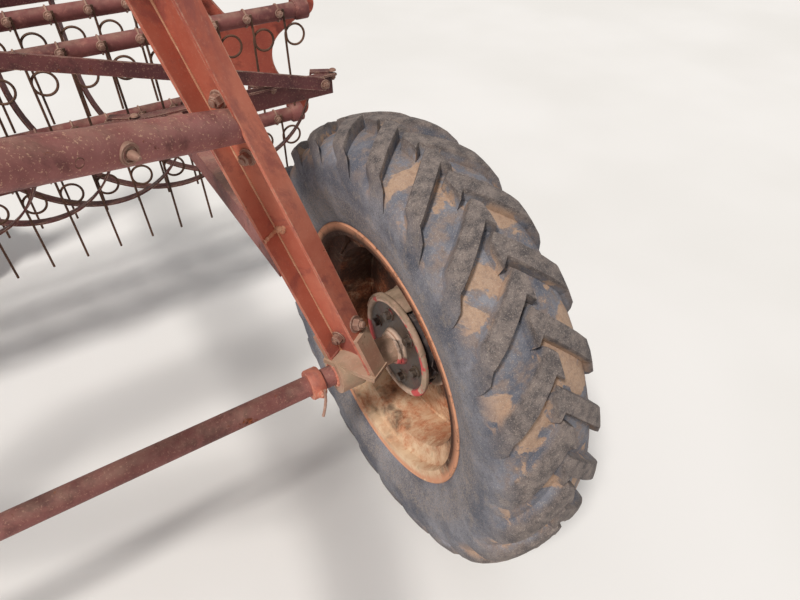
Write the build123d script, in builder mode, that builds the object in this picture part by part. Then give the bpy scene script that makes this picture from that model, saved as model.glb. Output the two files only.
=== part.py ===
# Trailed side delivery rake with an oblique four-bar reel.
# Millimetres. The ground is Z = 0, the axle runs along X at Y = 0, and the rake is towed towards -Y.
import os
from math import cos, sin, radians
from build123d import *

os.makedirs("parts", exist_ok=True)

# Wheels
tyre_radius = 545.0
tyre_width = 230.0
carcass_crown = 518.0
carcass_shoulder = 494.0
shoulder_half = 97.0
shoulder_drop = 22.0
bulge_radius = 445.0
bead_rise = 4.0
lug_count = 24
lug_first = 94.15
lug_angle = 6.0
lug_taper = 0.6
lug_shoulder_lag = 10.2
lug_foot_lag = 15.4
lug_root = 20.0
lug_foot_radius = 466.0
centre_overlap = 16.0
lip_radius = 330.0
rim_width = 180.0
rim_wall = 6.0
flange_height = 25.3
well_depth = 42.7
well_half = 44.0
seat_half = 62.0
disc_x = 50.0
disc_wall = 8.0
wheel_x = 1090.0
axle_z = tyre_radius
drum_radius = 135.0
drum_half = 39.0
groove_radius = 95.0
spindle_radius = 20.0
running_fit = 0.05
boss_radius = 35.0
boss_inner_x = 885.0
boss_outer_x = 1045.0
hub_inner_x = 1048.0
hub_outer_x = 1166.0

# Frame
sleeve_radius = 48.0
sleeve_length = 60.0
ear_wall = 10.0
ear_height = 90.0
foot_plate = 12.0
foot_margin = 6.0
tie_radius = 24.15
channel_width = 102.0
channel_depth = 47.0
channel_wall = 7.0
channel_turn = 30.0
leg_foot = Vector(898.6, 5.5, axle_z + 170)
leg_rise = Vector(-0.2496, 0.2552, 1)
leg_low_z = axle_z + 45
main_pipe_radius = 30.15
main_pipe_low = Vector(795, 96, 1144)
spine_height = 100.0
spine_width = 60.0
spine_bottom = 1367.0
spine_top = spine_bottom + spine_height
spine_front_y = -520.0
spine_rear_y = 1660.0
apex = Vector(0, -354, spine_bottom + spine_height / 2)
cross_beam_size = 80.0
cross_beam_overhang = 14.0
cut_reach = 500.0
drawbar_height = 108.0
drawbar_low_y = -1890.0
gusset_wall = 8.0
gusset_reach = 120.0
hitch_z = 450.0
hitch_hole_y = -1955.0
hitch_hole_radius = 13.5
hitch_nose = 35.0
hitch_plate = 12.0
hitch_gap = 50.0
stand_y = -1500.0
stand_size = 50.0
stand_x = 75.0
stand_pin_radius = 12.0
stand_shoe = 160.0

# Reel
slant = 28.5
reel_y = 1020.0
reel_z = 910.0
reel_radius = 232.5
reel_phase = 143.4
bar_count = 4
pivot_x = 1136.0
bar_radius = 22.25
bar_overhang = 20.0
collar_radius = 29.0
collar_length = 40.0
pin_radius = 10.0
spider_offset = 52.0
spider_plate = 10.0
spider_hub_radius = 78.0
spider_notch_radius = 106.0
spider_arm_end = 38.0
head_boss_radius = 40.0
shaft_radius = 17.5
bearing_offset = 92.0
bearing_length = 50.0
bearing_radius = 45.0
bearing_plate = 10.0
sheave_offset = 150.0
sheave_width = 30.0
sheave_radius = 95.0
tine_count = 22
tine_pitch = 100.0
tine_first = 1070.0
tine_wire = 7.0
tine_length = 280.0
coil_radius = 29.5
coil_drop = 60.0

# Basket
strap_radius = 350.0
strap_wall = 6.0
strap_width = 25.0
strap_first = 972.0
strap_gaps = (0, 2, 4, 6, 8, 10, 12, 14, 16, 18, 19)
front_tab = 405.0
rear_tab = 430.0
rail_wall = 6.0
rail_height = 70.0
front_rail_back_y = 836.0
front_rail_flange = 30.0
front_rail_top_z = 885.0
rear_rail_front_y = 1204.0
rear_rail_flange = 36.0
rear_rail_top_z = 1170.0
rail_long_end = 1340.0
rail_short_end = 1040.0
brace_wall = 8.0
brace_height = 40.0
brace_low_z = 862.0
brace_top_z = 1236.0
hanger_wall = 10.0
hanger_width = 60.0
carrier_width = 40.0
carrier_height = 56.0

# Tail wheel
tail_radius = 200.0
tail_width = 100.0
tail_sides = 32
tail_post_y = 1620.0
tail_pivot_y = 1690.0
tail_trail = 100.0
tail_rim_radius = 120.0
tail_pin_radius = 10.0
tail_post_size = 60.0
tail_sleeve_radius = 32.0
tail_sleeve_low = 432.0
tail_sleeve_high = 590.0
tail_stem_radius = 16.0
fork_wall = 8.0
fork_gap = 60.0

slant_dir = Vector(-cos(radians(slant)), sin(radians(slant)), 0)
reel_axis = Vector(sin(radians(slant)), cos(radians(slant)), 0)
seat_radius = lip_radius - flange_height
well_radius = seat_radius - well_depth
lug_pitch = 360 / lug_count


def save(part, name):
    part.label = name
    export_step(part, "parts/" + name + ".step")


def ring_plane(x):
    return Plane(origin=(wheel_x + x, 0, axle_z), x_dir=(0, -1, 0), z_dir=(1, 0, 0))


def ring_point(angle, radius):
    return (radius * cos(radians(angle)), radius * sin(radians(angle)))


def rod_plane(start, end):
    return Plane(origin=start, z_dir=end - start)


def axle_plane(x):
    return Plane(origin=(x, 0, axle_z), x_dir=(0, 1, 0), z_dir=(1, 0, 0))


def leg_centre(z):
    return leg_foot + leg_rise * (z - leg_foot.Z)


def leg_plane(z):
    opening = Vector(-cos(radians(channel_turn)), -sin(radians(channel_turn)), 0)
    along = leg_rise.normalized()
    return Plane(origin=leg_centre(z), x_dir=opening - along * opening.dot(along), z_dir=along)


def well_at(x):
    return well_radius - rim_wall + well_depth * (x - well_half) / (seat_half - well_half)


def head_plane(end, distance):
    centre = Vector(end * pivot_x, reel_y, reel_z)
    return Plane(origin=centre + reel_axis * (end * distance), x_dir=slant_dir * end, z_dir=reel_axis * end)


# Main wheels: a rubber tyre, a drop-centre rim and a hub with a grooved drum and the wheel disc
wheel_section = Plane(origin=(wheel_x, 0, axle_z), x_dir=(1, 0, 0), z_dir=(0, -1, 0))
wheel_axis = Axis((wheel_x, 0, axle_z), (1, 0, 0))

bead = rim_width / 2 - rim_wall
side = tyre_width / 2
with BuildPart() as carcass:
    for x, radius in (
        (-bead, lip_radius + bead_rise),
        (-side + 3, (lip_radius + bulge_radius) / 2),
        (-side, bulge_radius),
        (-shoulder_half, carcass_shoulder),
        (0, carcass_crown),
        (shoulder_half, carcass_shoulder),
        (side, bulge_radius),
        (side - 3, (lip_radius + bulge_radius) / 2),
        (bead, lip_radius + bead_rise),
    ):
        with BuildSketch(ring_plane(x)):
            RegularPolygon(radius, lug_count)
    loft(ruled=True)

# Tread lugs: two staggered rows that sweep back from the crown and run down onto the sidewalls
lugs = []
for row, first in ((1, lug_first), (-1, lug_first - lug_pitch / 2)):
    with BuildPart() as lug:
        for x, root, top, lag in (
            (centre_overlap, carcass_shoulder, tyre_radius, 0),
            (-shoulder_half, carcass_shoulder - lug_root, tyre_radius - shoulder_drop, lug_shoulder_lag),
            (-side + 1, lug_foot_radius - lug_root, lug_foot_radius, lug_foot_lag),
        ):
            with BuildSketch(ring_plane(row * x)):
                Polygon(
                    ring_point(first - lag, root),
                    ring_point(first - lag + lug_taper, top),
                    ring_point(first - lag + lug_angle - lug_taper, top),
                    ring_point(first - lag + lug_angle, root),
                    align=None,
                )
        loft(ruled=True)
    lugs += [lug.part.rotate(wheel_axis, index * lug_pitch) for index in range(lug_count)]

with BuildPart() as tyre_left:
    add(carcass.part)
    add(lugs)
    with BuildSketch(ring_plane(-bead)):
        Circle(seat_radius + 0.3)
    extrude(amount=2 * bead, mode=Mode.SUBTRACT)

with BuildPart() as rim_left:
    with BuildSketch(wheel_section):
        lip = rim_width / 2
        Polygon(
            (-lip, lip_radius),
            (-lip + rim_wall, lip_radius),
            (-lip + rim_wall, seat_radius),
            (-seat_half, seat_radius),
            (-well_half, well_radius),
            (well_half, well_radius),
            (seat_half, seat_radius),
            (lip - rim_wall, seat_radius),
            (lip - rim_wall, lip_radius),
            (lip, lip_radius),
            (lip, seat_radius - rim_wall),
            (seat_half, seat_radius - rim_wall),
            (well_half, well_radius - rim_wall),
            (-well_half, well_radius - rim_wall),
            (-seat_half, seat_radius - rim_wall),
            (-lip, seat_radius - rim_wall),
            align=None,
        )
    revolve(axis=wheel_axis)

with BuildPart() as hub_left:
    with BuildSketch(wheel_section):
        bore = spindle_radius + running_fit
        Polygon(
            (hub_inner_x - wheel_x, bore),
            (hub_inner_x - wheel_x, 46),
            (-drum_half, 46),
            (-drum_half, drum_radius),
            (-drum_half + 12, drum_radius),
            (-20, groove_radius),
            (20, groove_radius),
            (drum_half - 12, drum_radius),
            (drum_half, drum_radius),
            (drum_half, 70),
            (disc_x, 70),
            (disc_x, well_at(disc_x)),
            (disc_x + disc_wall, well_at(disc_x + disc_wall)),
            (disc_x + disc_wall, 62),
            (hub_outer_x - wheel_x, 46),
            (hub_outer_x - wheel_x, bore),
            align=None,
        )
    revolve(axis=wheel_axis)

# Stub axles: a fat boss held by the leg's foot, and a spindle with its washer and nut
with BuildPart() as axle_left:
    with BuildSketch(axle_plane(boss_inner_x)):
        Circle(boss_radius)
    extrude(amount=boss_outer_x - boss_inner_x)
    with BuildSketch(axle_plane(boss_outer_x)):
        Circle(spindle_radius)
    extrude(amount=hub_outer_x + 28 - boss_outer_x)
    with BuildSketch(axle_plane(hub_outer_x + 1)):
        Circle(spindle_radius + 14)
    extrude(amount=3)
    with BuildSketch(axle_plane(hub_outer_x + 4)):
        RegularPolygon(29, 6)
    extrude(amount=18)

# Leg feet: a sleeve round each boss, a plate under the channel and two ears beside its flanges
with BuildPart() as ears:
    with BuildSketch(leg_plane(leg_low_z)):
        for ear_y in (channel_width / 2 + ear_wall / 2, -channel_width / 2 - ear_wall / 2):
            with Locations((0, ear_y)):
                Rectangle(channel_depth, ear_wall)
    extrude(amount=ear_height, both=True)
    split(bisect_by=Plane.XY.offset(leg_low_z), keep=Keep.TOP)

with BuildPart() as foot_left:
    with BuildSketch(axle_plane(boss_inner_x)):
        Circle(sleeve_radius)
    extrude(amount=sleeve_length)
    with BuildSketch(Plane.XY.offset(leg_low_z - foot_plate)):
        with Locations((leg_centre(leg_low_z).X, leg_centre(leg_low_z).Y)):
            Rectangle(
                channel_depth + 2 * foot_margin,
                channel_width + 2 * ear_wall + 2 * foot_margin,
                rotation=channel_turn,
            )
    extrude(amount=foot_plate)
    add(ears.part)
    with BuildSketch(axle_plane(boss_inner_x)):
        Circle(boss_radius + running_fit)
    extrude(amount=2 * sleeve_length, mode=Mode.SUBTRACT)

# Legs: channels that lean back and in over the axle and open towards the spine's front end
with BuildPart() as leg_left:
    with BuildSketch(leg_plane(leg_low_z)):
        Rectangle(channel_depth, channel_width)
        with Locations((channel_wall / 2, 0)):
            Rectangle(channel_depth - channel_wall, channel_width - 2 * channel_wall, mode=Mode.SUBTRACT)
    extrude(amount=2 * (spine_top - leg_low_z), both=True)
    split(bisect_by=Plane.XY.offset(spine_top), keep=Keep.BOTTOM)
    split(bisect_by=Plane.XY.offset(leg_low_z), keep=Keep.TOP)
    with BuildSketch(axle_plane(boss_inner_x)):
        Circle(sleeve_radius)
    extrude(amount=2 * sleeve_length, mode=Mode.SUBTRACT)

# Pipes from inside the channels forward and up to the sides of the spine
pipe_run = main_pipe_low - apex
with BuildPart() as main_pipe_left:
    with BuildSketch(rod_plane(apex, main_pipe_low)):
        Circle(main_pipe_radius)
    extrude(amount=pipe_run.length * 1.15)
    with BuildSketch(leg_plane(main_pipe_low.Z)):
        Polygon(
            (channel_wall - channel_depth / 2, -cut_reach),
            (channel_wall - channel_depth / 2, channel_width / 2 - channel_wall),
            (channel_depth / 2, channel_width / 2 - channel_wall),
            (channel_depth / 2, cut_reach),
            (-cut_reach, cut_reach),
            (-cut_reach, -cut_reach),
            align=None,
        )
    extrude(amount=cut_reach, both=True, mode=Mode.SUBTRACT)
    split(bisect_by=Plane.YZ.offset(spine_width / 2), keep=Keep.TOP)

# Arms from the legs back to the basket's front rail
carrier_z = front_rail_top_z - rail_wall - 1 - carrier_height / 2
with BuildPart() as carrier_arm_left:
    with BuildSketch(Plane.XZ.offset(-(front_rail_back_y - rail_wall))):
        rear_flange_x = leg_centre(carrier_z).X - channel_width / 2 * sin(radians(channel_turn))
        with Locations((rear_flange_x, carrier_z)):
            Rectangle(carrier_width, carrier_height)
    extrude(amount=front_rail_back_y - rail_wall)
    with BuildSketch(leg_plane(carrier_z)):
        with Locations((0, -channel_width / 2)):
            Rectangle(2 * cut_reach, cut_reach, align=(Align.CENTER, Align.MIN))
    extrude(amount=cut_reach, both=True, mode=Mode.SUBTRACT)

for name, piece in (
    ("tyre", tyre_left),
    ("rim", rim_left),
    ("hub", hub_left),
    ("axle", axle_left),
    ("foot", foot_left),
    ("leg", leg_left),
    ("main_pipe", main_pipe_left),
):
    with BuildPart() as opposite:
        mirror(piece.part, about=Plane.YZ)
    save(piece.part, name + "_left")
    save(opposite.part, name + "_right")

with BuildPart() as carrier_arms:
    add(carrier_arm_left.part)
    mirror(about=Plane.YZ)
save(carrier_arms.part, "carrier_arms")

with BuildPart() as axle_tie:
    with BuildSketch(axle_plane(-boss_inner_x)):
        Circle(tie_radius)
    extrude(amount=2 * boss_inner_x)
save(axle_tie.part, "axle_tie")

# Spine over the reel and the beam across the tops of the legs
with BuildPart() as spine:
    with BuildSketch(Plane.XY.offset(spine_bottom)):
        with Locations((0, (spine_front_y + spine_rear_y) / 2)):
            Rectangle(spine_width, spine_rear_y - spine_front_y)
    extrude(amount=spine_height)
save(spine.part, "spine")

with BuildPart() as cross_beam:
    with BuildSketch(Plane.XY.offset(spine_top)):
        leg_half_x = (channel_depth * cos(radians(channel_turn)) + channel_width * sin(radians(channel_turn))) / 2
        cross_beam_half = leg_centre(spine_top).X + leg_half_x + cross_beam_overhang
        with Locations((0, leg_centre(spine_top).Y)):
            Rectangle(2 * cross_beam_half, cross_beam_size)
    extrude(amount=cross_beam_size)
save(cross_beam.part, "cross_beam")

# Drawbar from the spine's front end down to the hitch
drawbar_slope = (apex.Z - hitch_z) / (spine_front_y - drawbar_low_y)
with BuildPart() as drawbar:
    with BuildSketch(Plane.YZ):
        Polygon(
            (drawbar_low_y, hitch_z - drawbar_height / 2),
            (spine_front_y, apex.Z - drawbar_height / 2),
            (spine_front_y, apex.Z + drawbar_height / 2),
            (drawbar_low_y, hitch_z + drawbar_height / 2),
            align=None,
        )
    extrude(amount=spine_width / 2, both=True)
save(drawbar.part, "drawbar")

with BuildPart() as drawbar_gussets:
    for face_x in (spine_width / 2, -spine_width / 2 - gusset_wall):
        with BuildSketch(Plane.YZ.offset(face_x)):
            drop = gusset_reach * drawbar_slope
            Polygon(
                (spine_front_y + gusset_reach, apex.Z - 38),
                (spine_front_y + gusset_reach, apex.Z + 38),
                (spine_front_y, apex.Z + 38),
                (spine_front_y - gusset_reach, apex.Z + 38 - drop),
                (spine_front_y - gusset_reach, apex.Z - 38 - drop),
                (spine_front_y, apex.Z - 38),
                align=None,
            )
        extrude(amount=gusset_wall)
save(drawbar_gussets.part, "drawbar_gussets")

with BuildPart() as hitch_clevis:
    with BuildSketch(Plane.XZ.offset(-drawbar_low_y)):
        with Locations((0, hitch_z)):
            Rectangle(100, 130)
    extrude(amount=hitch_plate)
    for plate_z in (hitch_z + hitch_gap / 2, hitch_z - hitch_gap / 2 - hitch_plate):
        with BuildSketch(Plane.XY.offset(plate_z)):
            with Locations((0, (drawbar_low_y + hitch_hole_y) / 2)):
                Rectangle(2 * hitch_nose, drawbar_low_y - hitch_hole_y)
            with Locations((0, hitch_hole_y)):
                Circle(hitch_nose)
                Circle(hitch_hole_radius, mode=Mode.SUBTRACT)
        extrude(amount=hitch_plate)
save(hitch_clevis.part, "hitch_clevis")

# Parking stand beside the drawbar, on a shouldered pin
stand_z = hitch_z + drawbar_slope * (stand_y - drawbar_low_y)
with BuildPart() as stand_pin:
    for start_x, end_x, radius in (
        (spine_width / 2, stand_x - stand_size / 2 - 1, stand_pin_radius + 14),
        (spine_width / 2, stand_x + stand_size / 2 + 8, stand_pin_radius),
        (stand_x + stand_size / 2 + 1, stand_x + stand_size / 2 + 8, stand_pin_radius + 8),
    ):
        with BuildSketch(Plane.YZ.offset(start_x)):
            with Locations((stand_y, stand_z)):
                Circle(radius)
        extrude(amount=end_x - start_x)
save(stand_pin.part, "stand_pin")

with BuildPart() as parking_stand:
    with BuildSketch(Plane.XY):
        with Locations((stand_x, stand_y)):
            Rectangle(stand_shoe, stand_shoe)
    extrude(amount=8)
    with BuildSketch(Plane.XY):
        with Locations((stand_x, stand_y)):
            Rectangle(stand_size, stand_size)
    extrude(amount=stand_z + 40)
    with BuildSketch(Plane.YZ.offset(stand_x - stand_size)):
        with Locations((stand_y, stand_z)):
            Circle(stand_pin_radius + running_fit)
    extrude(amount=2 * stand_size, mode=Mode.SUBTRACT)
save(parking_stand.part, "parking_stand")

# Basket rails: angles whose top flanges carry the ends of the straps
for name, web_y, flange_y, flange, top_z, low_x, high_x in (
    (
        "front_rail",
        front_rail_back_y - rail_wall / 2,
        front_rail_back_y - front_rail_flange / 2,
        front_rail_flange,
        front_rail_top_z,
        -rail_short_end,
        rail_long_end,
    ),
    (
        "rear_rail",
        rear_rail_front_y + rail_wall / 2,
        rear_rail_front_y + rear_rail_flange / 2,
        rear_rail_flange,
        rear_rail_top_z,
        -rail_long_end,
        rail_short_end,
    ),
):
    with BuildPart() as rail:
        with BuildSketch(Plane.YZ.offset(low_x)):
            with Locations((web_y, top_z - rail_height / 2)):
                Rectangle(rail_wall, rail_height)
            with Locations((flange_y, top_z - rail_wall / 2)):
                Rectangle(flange, rail_wall)
        extrude(amount=high_x - low_x)
    save(rail.part, name)

# Stripper straps: flat bars bent round under the reel in planes parallel to its spiders
front_strap_z = front_rail_top_z + strap_wall / 2 - reel_z
rear_strap_z = rear_rail_top_z + strap_wall / 2 - reel_z
with BuildPart() as stripper_straps:
    for gap in strap_gaps:
        strap_x = strap_first - gap * tine_pitch
        with BuildSketch(Plane(origin=(strap_x, reel_y, reel_z), x_dir=slant_dir, z_dir=reel_axis)):
            Circle(strap_radius + strap_wall / 2)
            Circle(strap_radius - strap_wall / 2, mode=Mode.SUBTRACT)
            with Locations((0, strap_radius)):
                Rectangle(3 * strap_radius, 2 * strap_radius, mode=Mode.SUBTRACT)
            with Locations((-strap_radius, front_strap_z + strap_radius / 2)):
                Rectangle(strap_radius, strap_radius, mode=Mode.SUBTRACT)
            with Locations((-(front_tab + strap_radius) / 2 + 1, front_strap_z)):
                Rectangle(front_tab - strap_radius + 4, strap_wall)
            with Locations((strap_radius, rear_strap_z / 2)):
                Rectangle(strap_wall, rear_strap_z)
            with Locations(((strap_radius - strap_wall / 2 + rear_tab) / 2, rear_strap_z)):
                Rectangle(rear_tab - strap_radius + strap_wall / 2, strap_wall)
        extrude(amount=strap_width / 2, both=True)
save(stripper_straps.part, "stripper_straps")

# Flat braces and hangers that hold the rails under the spine
brace_front_y = front_rail_back_y - front_rail_flange - brace_wall
with BuildPart() as rail_braces:
    for end_x in (rail_long_end - 40, -rail_short_end + 40):
        with BuildSketch(Plane.XZ.offset(-(brace_front_y + brace_wall))):
            Polygon(
                (0, brace_top_z - brace_height / 2),
                (end_x, brace_low_z - brace_height / 2),
                (end_x, brace_low_z + brace_height / 2),
                (0, brace_top_z + brace_height / 2),
                align=None,
            )
        extrude(amount=brace_wall)
save(rail_braces.part, "rail_braces")

with BuildPart() as hangers:
    with BuildSketch(Plane.XZ.offset(-brace_front_y)):
        with Locations((0, (brace_low_z + spine_bottom) / 2)):
            Rectangle(hanger_width, spine_bottom - brace_low_z)
    extrude(amount=hanger_wall)
    with BuildSketch(Plane.XZ.offset(-(brace_front_y + brace_wall))):
        with Locations((0, (brace_low_z + front_rail_top_z) / 2)):
            Rectangle(hanger_width, front_rail_top_z - brace_low_z)
    extrude(amount=brace_wall)
    with BuildSketch(Plane.YZ.offset(-spine_width / 2 - brace_wall)):
        with Locations((rear_rail_front_y + rear_rail_flange / 2, (rear_rail_top_z + spine_top - 20) / 2)):
            Rectangle(rear_rail_flange, spine_top - 20 - rear_rail_top_z)
    extrude(amount=brace_wall)
save(hangers.part, "hangers")

# Reel bearings on plate arms from the rear rail (left end) and the front rail (right end)
with BuildPart() as bearing_arm_left:
    with BuildSketch(head_plane(1, bearing_offset)):
        Polygon((-30, 30), (260, 258), (260, 192), (30, -30), align=None)
    extrude(amount=bearing_plate)
    with BuildSketch(head_plane(1, bearing_offset)):
        Circle(bearing_radius)
    extrude(amount=bearing_length)
    with BuildSketch(head_plane(1, bearing_offset)):
        Circle(shaft_radius + running_fit)
    extrude(amount=bearing_length, mode=Mode.SUBTRACT)
    split(bisect_by=Plane.XZ.offset(-rear_rail_front_y), keep=Keep.TOP)
save(bearing_arm_left.part, "bearing_arm_left")

with BuildPart() as bearing_arm_right:
    with BuildSketch(head_plane(-1, bearing_offset)):
        Polygon((0, 42), (260, -27), (260, -93), (0, -42), align=None)
    extrude(amount=bearing_plate)
    with BuildSketch(head_plane(-1, bearing_offset)):
        Circle(bearing_radius)
    extrude(amount=bearing_length)
    with BuildSketch(head_plane(-1, bearing_offset)):
        Circle(shaft_radius + running_fit)
    extrude(amount=bearing_length, mode=Mode.SUBTRACT)
    split(bisect_by=Plane.XZ.offset(-front_rail_back_y), keep=Keep.BOTTOM)
save(bearing_arm_right.part, "bearing_arm_right")

# Reel heads: four-armed spiders with rounded notches, on stub shafts about two parallel slanted axes
notch_centre = spider_hub_radius + spider_notch_radius
arm_root = notch_centre * cos(radians(45))
for end, name, shaft_end in (
    (1, "reel_head_left", bearing_offset + bearing_length + 14),
    (-1, "reel_head_right", sheave_offset + sheave_width + 8),
):
    first_angle = reel_phase if end == 1 else 180 - reel_phase
    with BuildPart() as head:
        with BuildSketch(head_plane(end, spider_offset)):
            Circle(arm_root)
            with PolarLocations(notch_centre, bar_count, start_angle=first_angle + 45):
                Circle(spider_notch_radius, mode=Mode.SUBTRACT)
            with PolarLocations(reel_radius / 2, bar_count, start_angle=first_angle):
                Rectangle(reel_radius, 2 * (arm_root - spider_notch_radius))
            with PolarLocations(reel_radius, bar_count, start_angle=first_angle):
                Circle(spider_arm_end)
                Circle(pin_radius + running_fit, mode=Mode.SUBTRACT)
        extrude(amount=spider_plate)
        with BuildSketch(head_plane(end, spider_offset + spider_plate)):
            Circle(head_boss_radius)
        extrude(amount=bearing_offset - 4 - spider_offset - spider_plate)
        with BuildSketch(head_plane(end, spider_offset)):
            Circle(shaft_radius)
        extrude(amount=shaft_end - spider_offset)
    save(head.part, name)

with BuildPart() as drive_sheave:
    for offset_from_face, thickness, radius in (
        (0, 8, sheave_radius),
        (8, sheave_width - 16, sheave_radius - 16),
        (sheave_width - 8, 8, sheave_radius),
    ):
        with BuildSketch(head_plane(-1, sheave_offset + offset_from_face)):
            Circle(radius)
            Circle(shaft_radius, mode=Mode.SUBTRACT)
        extrude(amount=thickness)
save(drive_sheave.part, "drive_sheave")

# Tine bars: tubes across the reel with a row of coil tines, and slanted pins welded into both ends
for index in range(bar_count):
    angle = radians(reel_phase + index * 360 / bar_count)
    rise = Vector(0, 0, reel_radius * sin(angle))
    mid = Vector(0, reel_y, reel_z) + slant_dir * (reel_radius * cos(angle)) + rise
    with BuildPart() as tine_bar:
        bar_half = pivot_x + bar_overhang
        with BuildSketch(Plane(origin=mid - Vector(bar_half, 0, 0), x_dir=(0, 1, 0), z_dir=(1, 0, 0))):
            Circle(bar_radius)
        extrude(amount=2 * bar_half)
        for collar_x in (-bar_half, bar_half - collar_length):
            with BuildSketch(Plane(origin=mid + Vector(collar_x, 0, 0), x_dir=(0, 1, 0), z_dir=(1, 0, 0))):
                Circle(collar_radius)
            extrude(amount=collar_length)
        tine_plane = Plane(origin=mid - Vector(0, bar_radius - 1, 0), x_dir=(1, 0, 0), z_dir=(0, -1, 0))
        with BuildSketch(tine_plane):
            for tine in range(tine_count):
                with Locations((tine_first - tine * tine_pitch, 10 - tine_length / 2)):
                    Rectangle(tine_wire, tine_length + 20)
        extrude(amount=tine_wire)
        with BuildSketch(tine_plane):
            for tine in range(tine_count):
                with Locations((tine_first - tine * tine_pitch + coil_radius, -coil_drop)):
                    RegularPolygon(coil_radius + tine_wire / 2, 8)
                    RegularPolygon(coil_radius - tine_wire / 2, 8, mode=Mode.SUBTRACT)
        extrude(amount=2 * tine_wire)
    save(tine_bar.part, "tine_bar_" + str(index + 1))

    with BuildPart() as bar_pins:
        for end in (1, -1):
            pivot = mid + Vector(end * pivot_x, 0, 0)
            outer_face = spider_offset + spider_plate
            for start_n, end_n, radius in (
                (0, outer_face + 14, pin_radius),
                (outer_face + 1, outer_face + 5, pin_radius + 8),
            ):
                with BuildSketch(Plane(origin=pivot + reel_axis * (end * start_n), z_dir=reel_axis * end)):
                    Circle(radius)
                extrude(amount=end_n - start_n)
        add(tine_bar.part, mode=Mode.SUBTRACT)
    save(bar_pins.part, "bar_pins_" + str(index + 1))

# Tail wheel on a trailing fork under a post at the spine's rear end
with BuildPart() as tail_post:
    with BuildSketch(Plane.XY.offset(tail_sleeve_low + 20)):
        with Locations((0, tail_post_y)):
            Rectangle(tail_post_size, tail_post_size)
    extrude(amount=spine_bottom - tail_sleeve_low - 20)
    with BuildSketch(Plane.XY.offset(tail_sleeve_low + 20)):
        with Locations((0, (tail_post_y + tail_pivot_y) / 2)):
            Rectangle(tail_sleeve_radius, tail_pivot_y - tail_post_y)
    extrude(amount=tail_sleeve_high - tail_sleeve_low - 40)
    with BuildSketch(Plane.XY.offset(tail_sleeve_low)):
        with Locations((0, tail_pivot_y)):
            Circle(tail_sleeve_radius)
    extrude(amount=tail_sleeve_high - tail_sleeve_low)
    with BuildSketch(Plane.XY.offset(tail_sleeve_low)):
        with Locations((0, tail_pivot_y)):
            Circle(tail_stem_radius + running_fit)
    extrude(amount=tail_sleeve_high - tail_sleeve_low, mode=Mode.SUBTRACT)
save(tail_post.part, "tail_post")

tail_axle_y = tail_pivot_y + tail_trail
crown_z = tail_radius * 2 + 12
with BuildPart() as tail_fork:
    with BuildSketch(Plane.XY.offset(crown_z)):
        with Locations((0, tail_pivot_y + tail_trail / 2)):
            Rectangle(2 * (fork_gap + fork_wall), tail_trail + 2 * tail_sleeve_radius)
    extrude(amount=fork_wall)
    for face_x in (fork_gap, -fork_gap - fork_wall):
        with BuildSketch(Plane.YZ.offset(face_x)):
            Polygon(
                (tail_pivot_y - tail_sleeve_radius, crown_z),
                (tail_axle_y + tail_sleeve_radius, crown_z),
                (tail_axle_y + 26, tail_radius - 26),
                (tail_axle_y - 26, tail_radius - 26),
                align=None,
            )
        extrude(amount=fork_wall)
    for low_z, high_z, radius in (
        (crown_z, tail_sleeve_high + 24, tail_stem_radius),
        (tail_sleeve_high + 1, tail_sleeve_high + 16, tail_stem_radius + 9),
    ):
        with BuildSketch(Plane.XY.offset(low_z)):
            with Locations((0, tail_pivot_y)):
                Circle(radius)
        extrude(amount=high_z - low_z)
    with BuildSketch(Plane.YZ.offset(-fork_gap - fork_wall - 8)):
        with Locations((tail_axle_y, tail_radius)):
            Circle(tail_pin_radius)
    extrude(amount=2 * (fork_gap + fork_wall + 8))
save(tail_fork.part, "tail_fork")

tail_section = Plane(origin=(0, tail_axle_y, tail_radius), x_dir=(1, 0, 0), z_dir=(0, -1, 0))
tail_axis = Axis((0, tail_axle_y, tail_radius), (1, 0, 0))
half = tail_width / 2
with BuildPart() as tail_tyre:
    for x, radius in (
        (-half + 12, tail_rim_radius + 4),
        (-half, tail_rim_radius + 34),
        (-half + 4, tail_radius - 16),
        (-half + 18, tail_radius - 3),
        (0, tail_radius),
        (half - 18, tail_radius - 3),
        (half - 4, tail_radius - 16),
        (half, tail_rim_radius + 34),
        (half - 12, tail_rim_radius + 4),
    ):
        with BuildSketch(Plane(origin=(x, tail_axle_y, tail_radius), x_dir=(0, 0, -1), z_dir=(1, 0, 0))):
            RegularPolygon(radius, tail_sides)
    loft(ruled=True)
    with BuildSketch(Plane(origin=(-half, tail_axle_y, tail_radius), x_dir=(0, 0, -1), z_dir=(1, 0, 0))):
        Circle(tail_rim_radius + 0.3)
    extrude(amount=tail_width, mode=Mode.SUBTRACT)
save(tail_tyre.part, "tail_tyre")

with BuildPart() as tail_rim:
    with BuildSketch(tail_section):
        Polygon(
            (-fork_gap + 2, tail_pin_radius + running_fit),
            (-fork_gap + 2, 26),
            (-4, 26),
            (-4, tail_rim_radius - 8),
            (-half + 6, tail_rim_radius - 8),
            (-half + 6, tail_rim_radius),
            (half - 6, tail_rim_radius),
            (half - 6, tail_rim_radius - 8),
            (4, tail_rim_radius - 8),
            (4, 26),
            (fork_gap - 2, 26),
            (fork_gap - 2, tail_pin_radius + running_fit),
            align=None,
        )
    revolve(axis=tail_axis)
save(tail_rim.part, "tail_rim")
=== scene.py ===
import math
import random

import bpy
import numpy as np
from mathutils import Matrix, Vector


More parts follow.
